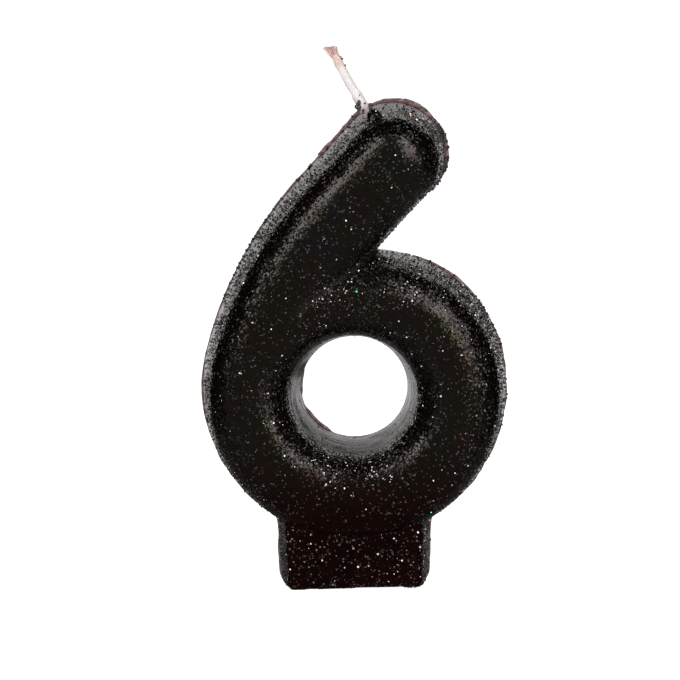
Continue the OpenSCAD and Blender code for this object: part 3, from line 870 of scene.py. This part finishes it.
def make_specks():
    """Drops of black wax stuck to the wick, most of them at its foot."""
    all_points, all_faces = [], []
    turns, rises = np.radians(np.arange(0, 360, 30)), np.radians(np.arange(-75, 76, 25))
    turn, rise = np.meshgrid(turns, rises)
    level = np.cos(rise)
    ball = np.stack([np.cos(turn) * level, np.sin(rise), np.sin(turn) * level], axis=-1)
    ball = ball.reshape(-1, 3)
    for at, across, radius in SPECKS:
        around = COLLAR_REACH if at < COLLAR_END else PRIMER_REACH
        depth = math.sqrt(max(around**2 - across**2, 0.04))
        centre = around_wick(np.array(at), np.array(across), depth)
        lumps = 1 + 0.35 * value_noise(ball + 3 * at, 0.7)[:, None]
        points, faces = tube((centre + radius * ball * lumps).reshape(*turn.shape, 3))
        first = sum(len(p) for p in all_points)
        all_points.append(points)
        all_faces += [[k + first for k in face] for face in faces]
    specks = add_mesh("black_specks", row_frame(np.concatenate(all_points)), all_faces)
    specks.data.materials.append(bpy.data.materials["black_glitter_wax"])
    return specks


# ---- Staging ------------------------------------------------------------------------------------
# In millimetres and degrees, except the floor's radius, which is in metres.
SENSOR_W = 36
PICTURE_W = 102.0
CAMERA_X, CAMERA_UP = -2.16, 37.23
CAMERA_EL = 5.5
CAMERA_FAR = 900.0
FLOOR_R, FLOOR_SIDES = 5, 96


def make_camera():
    """A long lens in front of the numeral, a little above it and tilted down."""
    el = math.radians(CAMERA_EL)
    data = bpy.data.cameras.new("camera")
    data.sensor_width = SENSOR_W
    data.lens = SENSOR_W * CAMERA_FAR / PICTURE_W
    data.clip_start, data.clip_end = 0.01, 50
    camera = bpy.data.objects.new("camera", data)
    up = Vector((0, math.sin(el), math.cos(el)))
    back = Vector((0, -math.cos(el), math.sin(el)))
    aim = Vector((CAMERA_X, 0, 0)) + CAMERA_UP * up
    camera.location = (aim + CAMERA_FAR * back) * MM
    camera.rotation_euler = (math.radians(90 - CAMERA_EL), 0, 0)
    bpy.context.scene.collection.objects.link(camera)
    bpy.context.scene.camera = camera


def make_softbox(name, direction, distance, size, power):
    """A rectangular light that shines at the numeral's middle from that direction."""
    data = bpy.data.lights.new(name, "AREA")
    data.shape = "RECTANGLE"
    data.size, data.size_y = size
    data.energy = power
    light = bpy.data.objects.new(name, data)
    direction = Vector(direction).normalized()
    light.location = direction * distance + Vector((0, 0, 0.04))
    light.rotation_euler = direction.to_track_quat("Z", "Y").to_euler()
    bpy.context.scene.collection.objects.link(light)
    return light


def make_world():
    """What the gloss sees: a white backdrop behind, a dim room in front, dark to the sides."""
    world = bpy.data.worlds.new("studio")
    world.use_nodes = True
    bpy.context.scene.world = world
    tree = world.node_tree
    background = tree.nodes["Background"]
    direction = tree.nodes.new("ShaderNodeTexCoord").outputs["Generated"]
    split = tree.nodes.new("ShaderNodeSeparateXYZ")
    tree.links.new(direction, split.inputs[0])

    def ramp(source, start, stop, first, last):
        made = tree.nodes.new("ShaderNodeMapRange")
        made.interpolation_type = "SMOOTHSTEP"
        tree.links.new(source, made.inputs["Value"])
        made.inputs["From Min"].default_value = start
        made.inputs["From Max"].default_value = stop
        made.inputs["To Min"].default_value = first
        made.inputs["To Max"].default_value = last
        return made.outputs[0]

    def combine(operation, first, second):
        made = tree.nodes.new("ShaderNodeMath")
        made.operation = operation
        tree.links.new(first, made.inputs[0])
        tree.links.new(second, made.inputs[1])
        return made.outputs[0]

    away, up = split.outputs["Y"], split.outputs["Z"]
    # the backdrop leans forward at its top, so upward directions see more of it
    leaning = combine("ADD", away, ramp(up, 0.0, 0.8, 0.0, 0.14))
    above_table = ramp(up, -0.34, -0.04, 0.12, 1.0)
    backdrop = combine("MULTIPLY", ramp(leaning, 0.76, 0.92, 0.0, 1.0), above_table)
    room_in_front = ramp(away, -0.60, -0.38, 0.24, 0.0)
    room = combine("MAXIMUM", room_in_front, ramp(up, -0.55, -0.25, 0.16, 0.0))
    strength = combine("MAXIMUM", backdrop, room)
    camera_ray = tree.nodes.new("ShaderNodeLightPath").outputs["Is Camera Ray"]
    tree.links.new(combine("MAXIMUM", strength, camera_ray), background.inputs["Strength"])
    background.inputs["Color"].default_value = (1.0, 0.99, 0.985, 1)


def make_floor():
    """A pale, glowing table top, round and wide enough to fill every view."""
    turns = np.linspace(0, 2 * math.pi, FLOOR_SIDES + 1)[:-1]
    around = [(FLOOR_R * math.cos(a), FLOOR_R * math.sin(a), 0) for a in turns]
    floor = add_mesh("light_table", np.array(around), [range(FLOOR_SIDES)], smooth_shading=False)
    look = Look("light_table", Roughness=0.9)
    look.shader.inputs["Base Color"].default_value = (0.8, 0.8, 0.8, 1)
    look.shader.inputs["Emission Color"].default_value = (1, 0.995, 0.99, 1)
    look.shader.inputs["Emission Strength"].default_value = 1.0
    floor.data.materials.append(look.material)
    floor.visible_glossy = False


def claim(piece, slot, *nodes):
    """Every piece rides on the only body and stands for its CAD nodes, which are hidden. slot is not
    used.
    """
    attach(piece, "root")
    if nodes:
        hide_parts(*nodes)


make_camera()
make_world()
make_floor()
make_softbox("softbox_left", (-0.56, -0.62, 0.55), distance=1.1, size=(0.34, 0.6), power=3.4)
make_softbox("softbox_right", (0.50, -0.72, 0.46), distance=1.1, size=(0.38, 1.0), power=6.4)
fill = make_softbox("fill", (0.0, -0.9, 0.45), distance=1.5, size=(1.0, 1.0), power=12.0)
fill.visible_glossy = False
bpy.context.scene.view_settings.view_transform = "Standard"

body, surface = make_body()
claim(body, "black_glitter_wax", "black_coat")
claim(make_flash(), "black_glitter_wax")
claim(make_core(), "core_wax", "wax_core")

for flake_name, flake_dark, flake_light, _ in FLAKE_KINDS:
    flake_look(flake_name, flake_dark, flake_light)
lying = make_flakes(
    "glitter_lying", surface, flake_share, count=2800, width=(0.14, 0.30), tilt=0.40, proud=0.015
)
claim(lying, "glitter", "glitter_flakes")
standing = make_flakes(
    "glitter_standing", surface, flake_share, count=460, width=(0.16, 0.34), tilt=0.7, proud=0.05
)
claim(standing, "glitter")
on_walls = make_flakes(
    "glitter_walls", surface, wall_share, count=5000, width=(0.14, 0.34), tilt=0.8, proud=0.08
)
claim(on_walls, "glitter")
claim(make_crumbs(surface, count=460, width=(0.20, 0.46)), "black_glitter_wax")

cotton = fibre_look("wick_cotton", (0.62, 0.56, 0.54), (0.47, 0.30, 0.275))
for strand_index in range(3):
    claim(make_strand(strand_index, cotton), "wick_cotton", f"wick_strand_{strand_index + 1}")
clear = wick_wax_look(
    "clear_wax", (0.58, 0.555, 0.54), (0.56, 0.42, 0.395), WICK_FREE - 5.2, WICK_FREE - 2.6
)
sleeve_s = np.linspace(0.8, WICK_FREE - 1.7, 50)
sleeve_r = np.interp(
    sleeve_s, [0.8, 2.9, 4.3, 7.2, 9.2, 10.0, 10.7], [0.60, 0.76, 0.70, 0.66, 0.70, 0.60, 0.45]
)
claim(make_sleeve("wick_primed", sleeve_s, sleeve_r, 0.03, 0.03, clear), "clear_wax", "wick_primer")
pale = wick_wax_look("pale_wax", (0.55, 0.515, 0.50), (0.30, 0.245, 0.235), 2.8, 1.2)
collar_s = np.linspace(-0.4, 4.2, 40)
collar_r = np.interp(
    collar_s, [-0.4, 0.4, 1.2, 2.1, 2.8, 3.6, 4.2], [0.5, 0.74, 0.84, 0.95, 0.86, 0.76, 0.66]
)
claim(make_sleeve("wick_collar_wax", collar_s, collar_r, 0.0, 0.16, pale), "pale_wax", "wick_collar")
claim(make_specks(), "black_wax_specks", "wax_specks")
